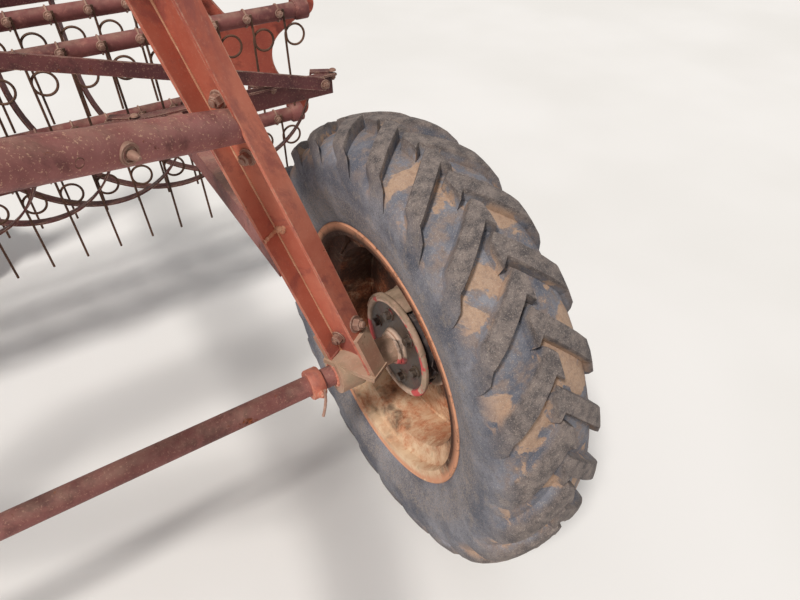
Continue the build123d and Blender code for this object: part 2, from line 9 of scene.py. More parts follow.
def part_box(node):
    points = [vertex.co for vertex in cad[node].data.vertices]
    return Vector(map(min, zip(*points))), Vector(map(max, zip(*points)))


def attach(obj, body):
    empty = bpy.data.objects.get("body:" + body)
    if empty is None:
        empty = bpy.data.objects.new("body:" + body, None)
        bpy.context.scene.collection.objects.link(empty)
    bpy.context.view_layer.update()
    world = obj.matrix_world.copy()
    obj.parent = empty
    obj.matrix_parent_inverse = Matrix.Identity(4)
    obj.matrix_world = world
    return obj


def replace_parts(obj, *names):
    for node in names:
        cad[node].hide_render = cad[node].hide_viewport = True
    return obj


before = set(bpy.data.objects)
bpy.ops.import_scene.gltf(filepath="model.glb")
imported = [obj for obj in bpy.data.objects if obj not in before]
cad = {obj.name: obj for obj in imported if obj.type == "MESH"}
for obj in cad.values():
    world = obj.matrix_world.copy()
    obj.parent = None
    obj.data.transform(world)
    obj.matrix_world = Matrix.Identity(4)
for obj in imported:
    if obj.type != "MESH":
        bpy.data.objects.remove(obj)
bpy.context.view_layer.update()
random.seed(11)
noise_source = np.random.default_rng(11)

MM = 0.001
X_AXIS = Vector((1, 0, 0))
Y_AXIS = Vector((0, 1, 0))
Z_AXIS = Vector((0, 0, 1))

# Places from the frame's boxes, and sizes that follow the CAD's; the lug's profile is the scene's own
tyre_low, tyre_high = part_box("tyre_left")
WHEEL_X = (tyre_low.x + tyre_high.x) / 2
rim_low, rim_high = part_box("rim_left")
AXLE_Z = rim_low.z / 2 + rim_high.z / 2
tail_low, tail_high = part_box("tail_rim")
TAIL_CENTRE = (tail_low + tail_high) / 2
SLANT = math.radians(28.5)
REEL_AXIS = Vector((math.sin(SLANT), math.cos(SLANT), 0))
SLANT_DIR = Vector((-math.cos(SLANT), math.sin(SLANT), 0))
REEL_MID = Vector((0, 1.020, 0.910))
REEL_RADIUS = 0.2325
FIRST_BAR = math.radians(143.4)
PIVOT_X = 1.136
STRAP_FIRST = 0.972
STRAP_GAPS = (0, 2, 4, 6, 8, 10, 12, 14, 16, 18, 19)
TINE_PITCH = 0.100
TINE_FIRST = 1.070
TINE_COUNT = 22
TINE_WIRE = 0.0035
COIL_DROP = 0.060
COLLAR_RADIUS = 0.029
LUG_COUNT = 24
LUG_PITCH = 360 / LUG_COUNT
LUG_MARKS = np.array((0.0, 0.3, 0.6, 3.0, 5.4, 5.7, 6.1))
LEG_FOOT = Vector((0.8986, 0.0055, 0.715))
LEG_RISE = Vector((-0.2496, 0.2552, 1))
LEG_ALONG = LEG_RISE.normalized()
LEG_TURN = math.radians(30)
LEG_OPEN = Vector((-math.cos(LEG_TURN), -math.sin(LEG_TURN), 0))
LEG_OPEN = (LEG_OPEN - LEG_ALONG * LEG_OPEN.dot(LEG_ALONG)).normalized()
LEG_FLANGE = LEG_ALONG.cross(LEG_OPEN)
LEG_HALF_DEPTH = 0.0235
LEG_HALF_WIDTH = 0.051
LEG_WALL = 0.007
PIPE_TOP = Vector((0, -0.354, 1.417))
PIPE_RUN = (Vector((0.795, 0.096, 1.144)) - PIPE_TOP).normalized()
PIPE_RADIUS = 0.03015


# Colours and node materials


def rgb(red, green, blue):
    """A colour as it looks on screen, 0 to 255, turned to linear values."""
    linear = []
    for channel in (red, green, blue):
        value = channel / 255
        linear.append(value / 12.92 if value <= 0.04045 else ((value + 0.055) / 1.055) ** 2.4)
    return (*linear, 1.0)


class Finish:
    """A node material under construction: each method adds a node and returns its output."""

    def __init__(self, name):
        self.material = bpy.data.materials.new(name)
        self.material.use_nodes = True
        self.nodes = self.material.node_tree.nodes
        self.links = self.material.node_tree.links
        self.shader = self.nodes["Principled BSDF"]
        coordinates = self.nodes.new("ShaderNodeTexCoord")
        self.place = coordinates.outputs["Object"]
        self.normal = coordinates.outputs["Normal"]

    def feed(self, socket, value):
        if isinstance(value, bpy.types.NodeSocket):
            self.links.new(value, socket)
        else:
            socket.default_value = value

    def stretched(self, x, y, z):
        mapping = self.nodes.new("ShaderNodeMapping")
        mapping.inputs["Scale"].default_value = (x, y, z)
        self.links.new(self.place, mapping.inputs["Vector"])
        return mapping.outputs["Vector"]

    def noise(self, scale, detail=4.0, roughness=0.55, place=None, distortion=0.0):
        node = self.nodes.new("ShaderNodeTexNoise")
        node.inputs["Scale"].default_value = scale
        node.inputs["Detail"].default_value = detail
        node.inputs["Roughness"].default_value = roughness
        node.inputs["Distortion"].default_value = distortion
        self.links.new(place or self.place, node.inputs["Vector"])
        return node.outputs["Fac"]

    def cells(self, scale, feature="F1", place=None):
        node = self.nodes.new("ShaderNodeTexVoronoi")
        node.feature = feature
        node.inputs["Scale"].default_value = scale
        self.links.new(place or self.place, node.inputs["Vector"])
        return node.outputs["Distance"]

    def math(self, operation, first, second=0.0):
        node = self.nodes.new("ShaderNodeMath")
        node.operation = operation
        node.use_clamp = True
        self.feed(node.inputs[0], first)
        self.feed(node.inputs[1], second)
        return node.outputs[0]

    def step(self, value, low, high):
        node = self.nodes.new("ShaderNodeMapRange")
        node.interpolation_type = "SMOOTHSTEP"
        self.feed(node.inputs["Value"], value)
        node.inputs["From Min"].default_value = low
        node.inputs["From Max"].default_value = high
        return node.outputs["Result"]

    def mix(self, share, first, second, kind="RGBA"):
        node = self.nodes.new("ShaderNodeMix")
        node.data_type = kind
        self.feed(node.inputs["Factor"], share)
        self.feed(node.inputs["A"], first)
        self.feed(node.inputs["B"], second)
        return node.outputs["Result"]

    def blend(self, share, first, second):
        return self.mix(share, first, second, "FLOAT")

    def upward(self, low, high):
        split = self.nodes.new("ShaderNodeSeparateXYZ")
        self.links.new(self.normal, split.inputs["Vector"])
        return self.step(split.outputs["Z"], low, high)

    def edges(self, radius, low=0.02, high=0.12):
        """1 along sharp edges, from the angle between the true and the rounded normal."""
        bevel = self.nodes.new("ShaderNodeBevel")
        bevel.samples = 4
        bevel.inputs["Radius"].default_value = radius
        geometry = self.nodes.new("ShaderNodeNewGeometry")
        dot = self.nodes.new("ShaderNodeVectorMath")
        dot.operation = "DOT_PRODUCT"
        self.links.new(bevel.outputs["Normal"], dot.inputs[0])
        self.links.new(geometry.outputs["Normal"], dot.inputs[1])
        return self.step(self.math("SUBTRACT", 1.0, dot.outputs["Value"]), low, high)

    def named(self, attribute):
        node = self.nodes.new("ShaderNodeAttribute")
        node.attribute_name = attribute
        return node.outputs["Fac"]

    def close(self, colour, roughness, height, distance, metallic=0.0, specular=0.3):
        bump = self.nodes.new("ShaderNodeBump")
        bump.inputs["Strength"].default_value = 1.0
        bump.inputs["Distance"].default_value = distance
        self.links.new(height, bump.inputs["Height"])
        self.links.new(bump.outputs["Normal"], self.shader.inputs["Normal"])
        self.feed(self.shader.inputs["Base Color"], colour)
        self.feed(self.shader.inputs["Roughness"], roughness)
        self.feed(self.shader.inputs["Metallic"], metallic)
        self.shader.inputs["Specular IOR Level"].default_value = specular
        return self.material


RUST_DARK = rgb(84, 42, 28)
RUST_WARM = rgb(158, 82, 46)
DUST = rgb(188, 160, 138)
# Dark grease colour, also used as painted shade over the hub's near face.
GREASE_AND_PAINTED_SHADE = rgb(40, 31, 27)


def weathered_paint(
    name, main, faded, stain, rust_level=0.6, dust_level=0.3, edge_wear=0.8, edge_colour=None, speckle=0.0
):
    """Old farm paint: sun-faded patches, streaks, rust spots, pale specks, worn edges and dust."""
    f = Finish(name)
    broad = f.noise(3.5, 5, 0.6)
    fine = f.noise(60, 6, 0.7)
    colour = f.mix(f.step(broad, 0.36, 0.66), main, faded)
    patches = f.noise(9, 7, 0.68, distortion=0.5)
    colour = f.mix(f.math("MULTIPLY", f.step(patches, 0.48, 0.62), 0.6), colour, stain)
    streaks = f.noise(14, 4, 0.6, f.stretched(1.4, 1.4, 0.16))
    colour = f.mix(f.math("MULTIPLY", f.step(streaks, 0.5, 0.8), 0.5), colour, stain)
    colour = f.mix(f.math("MULTIPLY", f.step(fine, 0.45, 0.75), 0.22), colour, faded)
    specks = f.math("MULTIPLY", f.step(f.noise(210, 4, 0.75), 0.585, 0.63), speckle)
    colour = f.mix(specks, colour, rgb(222, 178, 148))
    spots = f.noise(26, 9, 0.72, distortion=0.4)
    rust = f.math("ADD", f.math("MULTIPLY", spots, 0.75), f.math("MULTIPLY", broad, 0.25))
    rust = f.step(rust, rust_level, rust_level + 0.05)
    rust_colour = f.mix(f.step(f.noise(110, 5, 0.7), 0.4, 0.65), RUST_DARK, RUST_WARM)
    colour = f.mix(rust, colour, rust_colour)
    worn = f.math("MULTIPLY", f.edges(0.004), f.step(f.noise(40, 6, 0.7), 0.4, 0.62))
    worn = f.math("MULTIPLY", worn, edge_wear)
    colour = f.mix(worn, colour, edge_colour or rust_colour)
    dust = f.math("MULTIPLY", f.upward(0.1, 0.95), f.step(f.noise(18, 6, 0.65), 0.3, 0.7))
    dust = f.math("MULTIPLY", dust, dust_level)
    colour = f.mix(dust, colour, DUST)
    roughness = f.blend(rust, f.blend(f.step(fine, 0.3, 0.7), 0.5, 0.66), 0.9)
    roughness = f.blend(dust, roughness, 0.95)
    height = f.blend(rust, f.math("MULTIPLY", f.noise(220, 4, 0.6), 0.4), f.noise(300, 5, 0.75))
    return f.close(colour, roughness, height, 0.0009)


def rusty_steel(name, dark, warm, bright, metallic=0.25, dust_level=0.35):
    """Bare or long-lost paint steel with mottled scale rust."""
    f = Finish(name)
    broad = f.noise(7, 6, 0.65)
    mottled = f.noise(55, 8, 0.75, distortion=0.3)
    colour = f.mix(f.step(broad, 0.35, 0.65), dark, warm)
    colour = f.mix(f.math("MULTIPLY", f.step(mottled, 0.5, 0.72), 0.7), colour, bright)
    rub = f.math("MULTIPLY", f.edges(0.003), f.step(f.noise(70, 4, 0.6), 0.35, 0.6))
    colour = f.mix(f.math("MULTIPLY", rub, 0.6), colour, bright)
    up = f.upward(0.2, 1.0)
    dust = f.math("MULTIPLY", up, f.math("MULTIPLY", f.step(f.noise(24, 5, 0.6), 0.35, 0.7), dust_level))
    colour = f.mix(dust, colour, DUST)
    roughness = f.blend(f.step(mottled, 0.35, 0.7), 0.55, 0.88)
    height = f.math("ADD", f.math("MULTIPLY", mottled, 0.6), f.math("MULTIPLY", f.noise(320, 4, 0.7), 0.4))
    return f.close(colour, roughness, height, 0.0006, metallic=metallic)


def rusted_cream(name):
    """Wheel rims: cream paint that has largely gone to orange and brown rust, with painted light on the lower
    rim and painted shade higher up.
    """
    f = Finish(name)
    broad = f.noise(5.5, 6, 0.65, distortion=0.3)
    spots = f.noise(38, 9, 0.75, distortion=0.5)
    fine = f.noise(150, 5, 0.7)
    cream = f.mix(f.step(f.noise(12, 5, 0.6), 0.35, 0.7), rgb(228, 200, 166), rgb(196, 156, 124))
    rust_in_painted_shade = f.mix(f.step(fine, 0.4, 0.65), rgb(92, 50, 32), rgb(158, 92, 58))
    # Height above the floor paints light and shade: lighter orange rust low down; more rust, darker rust and
    # more dark patches higher up as painted shade.
    split = f.nodes.new("ShaderNodeSeparateXYZ")
    f.links.new(f.place, split.inputs["Vector"])
    high = f.step(split.outputs["Z"], 0.22, 0.62)
    blotch = f.math("ADD", f.math("MULTIPLY", broad, 0.5), f.math("MULTIPLY", spots, 0.5))
    share = f.step(f.math("ADD", blotch, f.math("MULTIPLY", high, 0.14)), 0.44, 0.62)
    rust_in_painted_light = f.mix(f.step(fine, 0.35, 0.7), rgb(188, 116, 78), rgb(214, 156, 120))
    rust_colour = f.mix(high, rust_in_painted_light, rust_in_painted_shade)
    colour = f.mix(share, cream, rust_colour)
    # Dark brown patches, more of them higher up: painted shade.
    dark = f.step(f.math("ADD", f.noise(7, 6, 0.6), f.math("MULTIPLY", high, 0.16)), 0.5, 0.66)
    colour = f.mix(f.math("MULTIPLY", dark, 0.85), colour, rgb(46, 30, 24))
    lip = f.named("lip")
    colour = f.mix(f.math("MULTIPLY", lip, f.step(spots, 0.3, 0.5)), colour, rgb(208, 150, 118))
    roughness = f.blend(share, 0.6, 0.9)
    height = f.math("ADD", f.math("MULTIPLY", share, 0.5), f.math("MULTIPLY", fine, 0.4))
    return f.close(colour, roughness, height, 0.0006)


def greasy_iron(name):
    """Hub castings: dusty tan iron, leftover red paint and dark caked grease; the groove attribute adds
    grease in the drum's groove and painted shade over the drum's near face.
    """
    f = Finish(name)
    broad = f.noise(9, 6, 0.65, distortion=0.4)
    caked = f.noise(16, 7, 0.7, distortion=0.8)
    fine = f.noise(130, 6, 0.7)
    colour = f.mix(f.step(broad, 0.38, 0.62), rgb(164, 140, 118), rgb(206, 176, 156))
    red = f.step(f.noise(15, 6, 0.65), 0.51, 0.56)
    colour = f.mix(red, colour, rgb(204, 84, 84))
    grease = f.math("MULTIPLY", f.step(caked, 0.54, 0.66), 0.8)
    # The groove attribute: grease in the drum's groove, and painted shade over the drum's near face and its
    # bolts.
    grease = f.math("MAXIMUM", grease, f.named("groove"))
    colour = f.mix(grease, colour, f.mix(f.step(fine, 0.4, 0.7), GREASE_AND_PAINTED_SHADE, rgb(92, 78, 66)))
    roughness = f.blend(grease, 0.85, f.blend(f.step(fine, 0.35, 0.7), 0.32, 0.6))
    height = f.math("ADD", f.math("MULTIPLY", grease, 0.6), f.math("MULTIPLY", fine, 0.5))
    return f.close(colour, roughness, height, 0.0012, specular=0.5)


def dusty_rubber(name):
    """Tyre rubber: grey worn lug tops, tan dust in the voids, fine cracks and scuffed sidewalls."""
    f = Finish(name)
    lug = f.named("lug_height")
    wall = f.named("sidewall")
    broad = f.noise(8, 6, 0.65)
    fine = f.noise(90, 7, 0.75)
    grain = f.noise(420, 4, 0.7)
    sand = f.mix(f.step(fine, 0.3, 0.7), rgb(156, 128, 108), rgb(196, 164, 138))
    rough_top = f.mix(f.step(f.noise(45, 7, 0.7), 0.35, 0.68), rgb(84, 78, 78), rgb(136, 124, 118))
    scraped = f.math("MULTIPLY", f.step(f.noise(150, 6, 0.75), 0.5, 0.75), 0.55)
    top = f.mix(scraped, rough_top, rgb(156, 140, 128))
    blue = f.mix(f.step(broad, 0.35, 0.7), rgb(92, 95, 106), rgb(142, 142, 149))
    void = f.mix(f.step(f.noise(34, 7, 0.7), 0.42, 0.62), blue, rgb(134, 120, 114))
    caked = f.step(f.noise(11, 8, 0.62, distortion=0.5), 0.52, 0.56)
    void = f.mix(f.math("MULTIPLY", caked, 0.9), void, sand)
    scuffs = f.step(f.noise(30, 8, 0.72), 0.52, 0.66)
    side = f.mix(f.math("MULTIPLY", scuffs, 0.45), blue, rgb(162, 148, 134))
    worn_ring = f.math("MULTIPLY", f.named("bead_band"), f.step(f.noise(240, 5, 0.75), 0.42, 0.6))
    side = f.mix(f.math("MULTIPLY", worn_ring, 0.75), side, rgb(158, 146, 138))
    colour = f.mix(f.step(lug, 0.2, 0.85), void, top)
    colour = f.mix(wall, colour, side)
    dark = f.math("MULTIPLY", f.step(fine, 0.5, 0.75), 0.35)
    colour = f.mix(dark, colour, rgb(58, 55, 56))
    colour = f.mix(f.math("MULTIPLY", f.step(grain, 0.53, 0.66), 0.38), colour, rgb(196, 184, 172))
    pits = f.step(f.noise(330, 5, 0.8), 0.54, 0.64)
    colour = f.mix(f.math("MULTIPLY", pits, f.blend(lug, 0.25, 0.6)), colour, rgb(48, 45, 47))
    cracks = f.math("SUBTRACT", 1.0, f.step(f.cells(130, "DISTANCE_TO_EDGE"), 0.0, 0.05))
    colour = f.mix(f.math("MULTIPLY", cracks, f.math("MULTIPLY", wall, 0.35)), colour, rgb(45, 43, 44))
    roughness = f.blend(f.step(fine, 0.3, 0.7), 0.72, 0.93)
    height = f.math("ADD", f.math("MULTIPLY", fine, 0.6), f.math("MULTIPLY", grain, 0.4))
    return f.close(colour, roughness, height, 0.0010, specular=0.25)


PALE_EDGE = rgb(214, 184, 158)
RED_PAINT = weathered_paint(
    "red_paint", rgb(178, 94, 74), rgb(206, 128, 104), rgb(134, 72, 70),
    edge_colour=PALE_EDGE, edge_wear=0.7, speckle=0.12,
)
HEAD_PAINT = weathered_paint(
    "head_paint", rgb(158, 78, 64), rgb(196, 102, 80), rgb(88, 46, 44), edge_colour=PALE_EDGE, speckle=0.15
)
FOOT_PAINT = weathered_paint(
    "muddy_foot", rgb(166, 106, 86), rgb(186, 158, 134), rgb(148, 134, 110), dust_level=0.75,
    edge_colour=PALE_EDGE, edge_wear=0.6, speckle=0.4,
)
PIPE_PAINT = weathered_paint(
    "pipe_paint", rgb(126, 74, 70), rgb(164, 108, 104), rgb(76, 44, 42), speckle=0.55
)
DARK_PAINT = weathered_paint(
    "dark_red_paint", rgb(122, 72, 68), rgb(152, 98, 92), rgb(76, 46, 44), rust_level=0.58, speckle=0.3
)
FADED_PAINT = weathered_paint(
    "faded_paint", rgb(92, 52, 54), rgb(124, 72, 70), rgb(56, 35, 37), dust_level=0.22,
    edge_colour=PALE_EDGE, edge_wear=0.85, speckle=0.25,
)
RIM_PAINT = rusted_cream("rusty_rim")
HUB_IRON = greasy_iron("greasy_iron")
TUBE_STEEL = rusty_steel("rusty_tube", rgb(100, 58, 58), rgb(140, 86, 82), rgb(180, 126, 114))
SPRING_STEEL = rusty_steel(
    "spring_steel", rgb(62, 46, 40), rgb(104, 74, 60), rgb(142, 108, 88), metallic=0.4
)
BOLT_STEEL = rusty_steel(
    "bolt_steel", rgb(124, 88, 76), rgb(166, 128, 112), rgb(214, 186, 168), metallic=0.2
)
CAKED_SAND = rusty_steel(
    "caked_sand", rgb(188, 128, 100), rgb(208, 154, 122), rgb(228, 188, 156), metallic=0.0, dust_level=0.2
)
GREASY_DIRT = rusty_steel(
    "greasy_dirt", rgb(52, 45, 46), rgb(84, 74, 74), rgb(126, 112, 104), metallic=0.0, dust_level=0.15
)
CAKED_DIRT = rusty_steel(
    "caked_dirt", rgb(138, 118, 98), rgb(186, 150, 130), rgb(216, 176, 156), metallic=0.0, dust_level=0.5
)
RUBBER = dusty_rubber("dusty_rubber")


# Mesh building


def across(axis):
    """Two unit directions square to an axis."""
    helper = Z_AXIS if abs(axis.z) < 0.9 else X_AXIS
    first = axis.cross(helper).normalized()
    return first, axis.cross(first).normalized()


class Shape:
    """Collects vertices and faces of one piece."""

    def __init__(self):
        self.points = []
        self.faces = []

    def ring(self, centre, axis, radius, count, turn=0.0):
        first, second = across(axis)
        start = len(self.points)
        if radius < 1e-6:
            self.points.append(centre.copy())
            return [start] * count
        for k in range(count):
            angle = turn + 2 * math.pi * k / count
            self.points.append(centre + radius * (math.cos(angle) * first + math.sin(angle) * second))
        return list(range(start, start + count))

    def bridge(self, low, high):
        count = len(low)
        for k in range(count):
            corners = [low[k], low[(k + 1) % count], high[(k + 1) % count], high[k]]
            corners = list(dict.fromkeys(corners))
            if len(corners) > 2:
                self.faces.append(corners)

    def lathe(self, profile, origin, axis, count=64, closed=False, turn=0.0):
        """Turns (distance along the axis, radius) pairs round the axis."""
        rings = [self.ring(origin + axis * along, axis, radius, count, turn) for along, radius in profile]
        for low, high in zip(rings, rings[1:]):
            self.bridge(low, high)
        if closed:
            self.bridge(rings[-1], rings[0])
        return self

    def tube(self, path, radius, count=10, wobble=0.0):
        """A round rod along a smooth list of points."""
        direction = (path[1] - path[0]).normalized()
        first, second = across(direction)
        rings = []
        for k, point in enumerate(path):
            ahead = path[min(k + 1, len(path) - 1)] - path[max(k - 1, 0)]
            turn = direction.rotation_difference(ahead.normalized())
            first, second, direction = turn @ first, turn @ second, ahead.normalized()
            size = radius * (1 + wobble * random.uniform(-1, 1))
            start = len(self.points)
            for n in range(count):
                angle = 2 * math.pi * n / count
                self.points.append(point + size * (math.cos(angle) * first + math.sin(angle) * second))
            rings.append(list(range(start, start + count)))
        for low, high in zip(rings, rings[1:]):
            self.bridge(low, high)
        self.faces.append(rings[0][::-1])
        self.faces.append(rings[-1])
        return self

    def bolt(self, seat, out, size=0.019, stub=0.006, washer=True):
        """A hexagon head or nut on a washer, with the thread's end standing out."""
        half = size / 2
        spin = random.uniform(0, math.pi / 3)
        if washer:
            disc = [(-0.001, 0), (-0.001, half * 1.55), (0.0015, half * 1.62), (0.003, half * 1.5)]
            disc.append((0.003, 0))
            self.lathe(disc, seat, out, 20)
        base = seat + out * (0.0028 if washer else -0.0005)
        tall = size * 0.56
        hexagon = half * 1.155
        head = [(0, 0), (0, hexagon), (tall * 0.86, hexagon), (tall, hexagon * 0.86), (tall, 0)]
        self.lathe(head, base, out, 6, turn=spin)
        if stub > 0:
            thread = half * 0.62
            tip = tall + stub
            self.lathe([(0, thread), (tip - 0.001, thread), (tip, thread * 0.8), (tip, 0)], base, out, 12)
        return self

    def dome(self, seat, out, radius=0.011):
        """A round-headed carriage bolt."""
        profile = [(-0.001, 0), (-0.001, radius)]
        for k in range(1, 6):
            angle = math.pi / 2 * k / 5
            profile.append((radius * 0.55 * math.sin(angle), radius * math.cos(angle)))
        return self.lathe(profile, seat, out, 16)

    def bead(self, path, radius=0.004):
        """A weld bead: a rippled rod half sunk into the joint."""
        steps = []
        for start, end in zip(path, path[1:]):
            count = max(2, int((end - start).length / 0.0035))
            steps += [start.lerp(end, k / count) for k in range(count)]
        steps.append(path[-1])
        return self.tube(steps, radius, 8, wobble=0.22)

    def build(self, name, material, body, slot, smooth=38):
        mesh = bpy.data.meshes.new(name)
        mesh.from_pydata([tuple(p) for p in self.points], [], self.faces)
        return finish_piece(name, mesh, material, body, smooth)


def finish_piece(name, mesh, material, body, smooth=38):
    mesh.validate()
    mesh.update()
    mesh.materials.append(material)
    mesh.polygons.foreach_set("use_smooth", [True] * len(mesh.polygons))
    mesh.set_sharp_from_angle(angle=math.radians(smooth))
    piece = bpy.data.objects.new(name, mesh)
    bpy.context.scene.collection.objects.link(piece)
    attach(piece, body)
    return piece


def side_name(side):
    return "left" if side > 0 else "right"


def around(radius, angle):
    """A place across the X axis, at a radius and an angle from the Y axis."""
    return Vector((0, radius * math.cos(angle), radius * math.sin(angle)))


def mark(piece, label, value_at):
    """Stores a value on each vertex, for the materials to read."""
    layer = piece.data.attributes.new(label, "FLOAT", "POINT")
    for k, vertex in enumerate(piece.data.vertices):
        layer.data[k].value = value_at(vertex.co)


def circle_path(centre, axis, radius, count=72):
    first, second = across(axis)
    points = []
    for k in range(count + 1):
        angle = 2 * math.pi * k / count
        points.append(centre + radius * (math.cos(angle) * first + math.sin(angle) * second))
    return points


# Drive tyres: staggered sweeping lugs on one grid of sheared columns


def lug_share(offset):
    """Height of a lug, 0 to 1, at an angle past its leading edge in degrees."""
    heights = (0.0, 0.82, 0.985, 1.0, 0.985, 0.82, 0.0)
    return np.interp(offset, LUG_MARKS, heights, left=0.0, right=0.0)


def tread_rows():
    """(base x, base radius, lug x, lug radius, sidewall share) in mm, from the crown to one bead."""
    lugged = (
        (0, 518.0, 0, 545.0, 0),
        (9, 517.8, 9, 544.9, 0),
        (14, 517.6, 14, 544.7, 0),
        (19, 517.3, 19, 544.4, 0),
        (34, 516.2, 34, 543.2, 0),
        (52, 513.5, 52, 540.2, 0),
        (70, 509.0, 70, 535.5, 0),
        (84, 503.0, 84, 529.5, 0),
        (92, 498.0, 92.5, 525.0, 0),
        (97, 493.5, 98.5, 520.5, 0.1),
        (104, 486.0, 105.5, 509.0, 0.3),
        (109, 477.0, 110.8, 493.0, 0.5),
        (112.5, 467.0, 113.8, 477.0, 0.8),
        (114, 458.0, 114.5, 462.0, 1),
    )
    wall = ((115, 448), (115, 436), (113.6, 417), (114.6, 412), (111.5, 400), (108, 382), (103, 362))
    wall += ((97.5, 348), (96.8, 343.5), (93, 338), (89, 331), (85, 318), (82, 306))
    return lugged + tuple((x, radius, x, radius, 1) for x, radius in wall)


def sweep_lag(x):
    """How far a lug lags behind its nose, in degrees, at a distance from the tyre's middle in mm."""
    return np.interp(abs(x), (0, 97, 104, 112, 115, 200), (0, 10.2, 12.9, 14.8, 15.4, 15.4))


def drive_tyre(side):
    """One tyre; the lugs' noses lead in the same turning direction on both hands."""
    first_nose = 94.15
    largest = 0.5448
    stagger = LUG_PITCH / 2
    offsets = np.concatenate((LUG_MARKS, LUG_MARKS + stagger))
    columns = (np.arange(LUG_COUNT)[:, None] * LUG_PITCH + offsets[None, :]).ravel()
    half = tread_rows()
    rows = [(-1, r) for r in half[::-1]] + [(1, r) for r in half[1:]]
    wear = noise_source.uniform(0.93, 1.0, (2, LUG_COUNT))
    points = np.zeros((len(rows), len(columns), 3))
    height = np.zeros((len(rows), len(columns)))
    wall = np.zeros((len(rows), len(columns)))
    band = np.zeros((len(rows), len(columns)))
    lug_index = np.arange(len(columns)) // len(offsets)
    for i, (way, (bx, br, tx, tr, share)) in enumerate(rows):
        x = way * bx
        near = lug_share(columns % LUG_PITCH) * np.interp(x, (14, 19), (1, 0)) * wear[0][lug_index]
        far = lug_share((columns - stagger) % LUG_PITCH) * np.interp(x, (-19, -14), (0, 1))
        far *= wear[1][lug_index]
        h = np.maximum(near, far)
        angle = np.radians(first_nose + columns - sweep_lag(x))
        roughened = noise_source.normal(0, 0.0004, len(columns))
        radius = (br + h * (tr - br)) * MM + roughened
        radius = np.minimum(radius, largest)
        across_x = (bx + h * (tx - bx)) * way * MM
        points[i, :, 0] = side * (WHEEL_X + across_x)
        points[i, :, 1] = -radius * np.cos(angle)
        points[i, :, 2] = AXLE_Z + radius * np.sin(angle)
        height[i] = h
        wall[i] = share
        band[i] = np.interp(br, (335, 352, 405, 425), (0, 1, 1, 0))
    count = len(columns)
    faces = []
    for i in range(len(rows) - 1):
        for k in range(count):
            n = (k + 1) % count
            quad = (i * count + k, i * count + n, (i + 1) * count + n, (i + 1) * count + k)
            faces.append(quad if side > 0 else quad[::-1])
    hand = side_name(side)
    name = "tyre_rubber_" + hand
    mesh = bpy.data.meshes.new(name)
    mesh.from_pydata(points.reshape(-1, 3).tolist(), [], faces)
    for label, values in (("lug_height", height), ("sidewall", wall), ("bead_band", band)):
        layer = mesh.attributes.new(label, "FLOAT", "POINT")
        layer.data.foreach_set("value", values.ravel().astype(np.float32))
    tyre = finish_piece(name, mesh, RUBBER, "wheel_" + hand, 32)
    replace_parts(tyre, "tyre_" + hand)


# Rims, wheel discs and hubs


def wheel_frame(side):
    """A wheel's hand, its centre, and the direction of its outer side."""
    return side_name(side), Vector((side * WHEEL_X, 0, AXLE_Z)), X_AXIS * side


def drive_rim(side):
    """The rim with its two weld lines, and the valve."""
    hand, origin, axis = wheel_frame(side)
    outer = [(-91.5, 332), (-87, 332.5), (-84.5, 329), (-84, 312), (-80, 304.7), (-64, 304.7), (-60, 301)]
    outer += [(-47, 265), (-41, 262)]
    inner = [(-41, 256), (-49, 259), (-62, 295), (-66, 298.7), (-84, 298.7), (-89, 302), (-90, 310)]
    inner += [(-90.5, 324), (-94, 329)]
    profile = [(a * MM, r * MM) for a, r in outer]
    profile += [(-a * MM, r * MM) for a, r in outer[::-1]]
    profile += [(-a * MM, r * MM) for a, r in inner[::-1]]
    profile += [(a * MM, r * MM) for a, r in inner]
    rim = Shape().lathe(profile, origin, axis, 120, closed=True)
    seam_place = around(0.2559, 2.2)
    seam = [origin + Vector((side * a * MM, seam_place.y, seam_place.z)) for a in range(-41, 48, 4)]
    rim.bead(seam, 0.003)
    rim.bead(circle_path(origin + axis * 0.049, X_AXIS, 0.2556, 150), 0.0045)
    piece = rim.build("rim_" + hand + "_steel", RIM_PAINT, "wheel_" + hand, "rusty_rim")
    mark(piece, "lip", lambda p: 1.0 if math.hypot(p.y, p.z - AXLE_Z) > 0.318 else 0.0)
    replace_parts(piece, "rim_" + hand)
    valve_turn = 0.9
    stem = Shape()
    foot = origin + axis * -0.055 + around(0.283, valve_turn)
    lean = (axis * -0.75 - around(1, valve_turn) * 0.65).normalized()
    profile = [(0, 0.010), (0.004, 0.009), (0.012, 0.0055), (0.03, 0.005), (0.031, 0.0038), (0.043, 0.0038)]
    stem.lathe(profile + [(0.044, 0)], foot, lean, 16)
    stem.build("valve_" + hand, SPRING_STEEL, "wheel_" + hand, "greasy_steel")


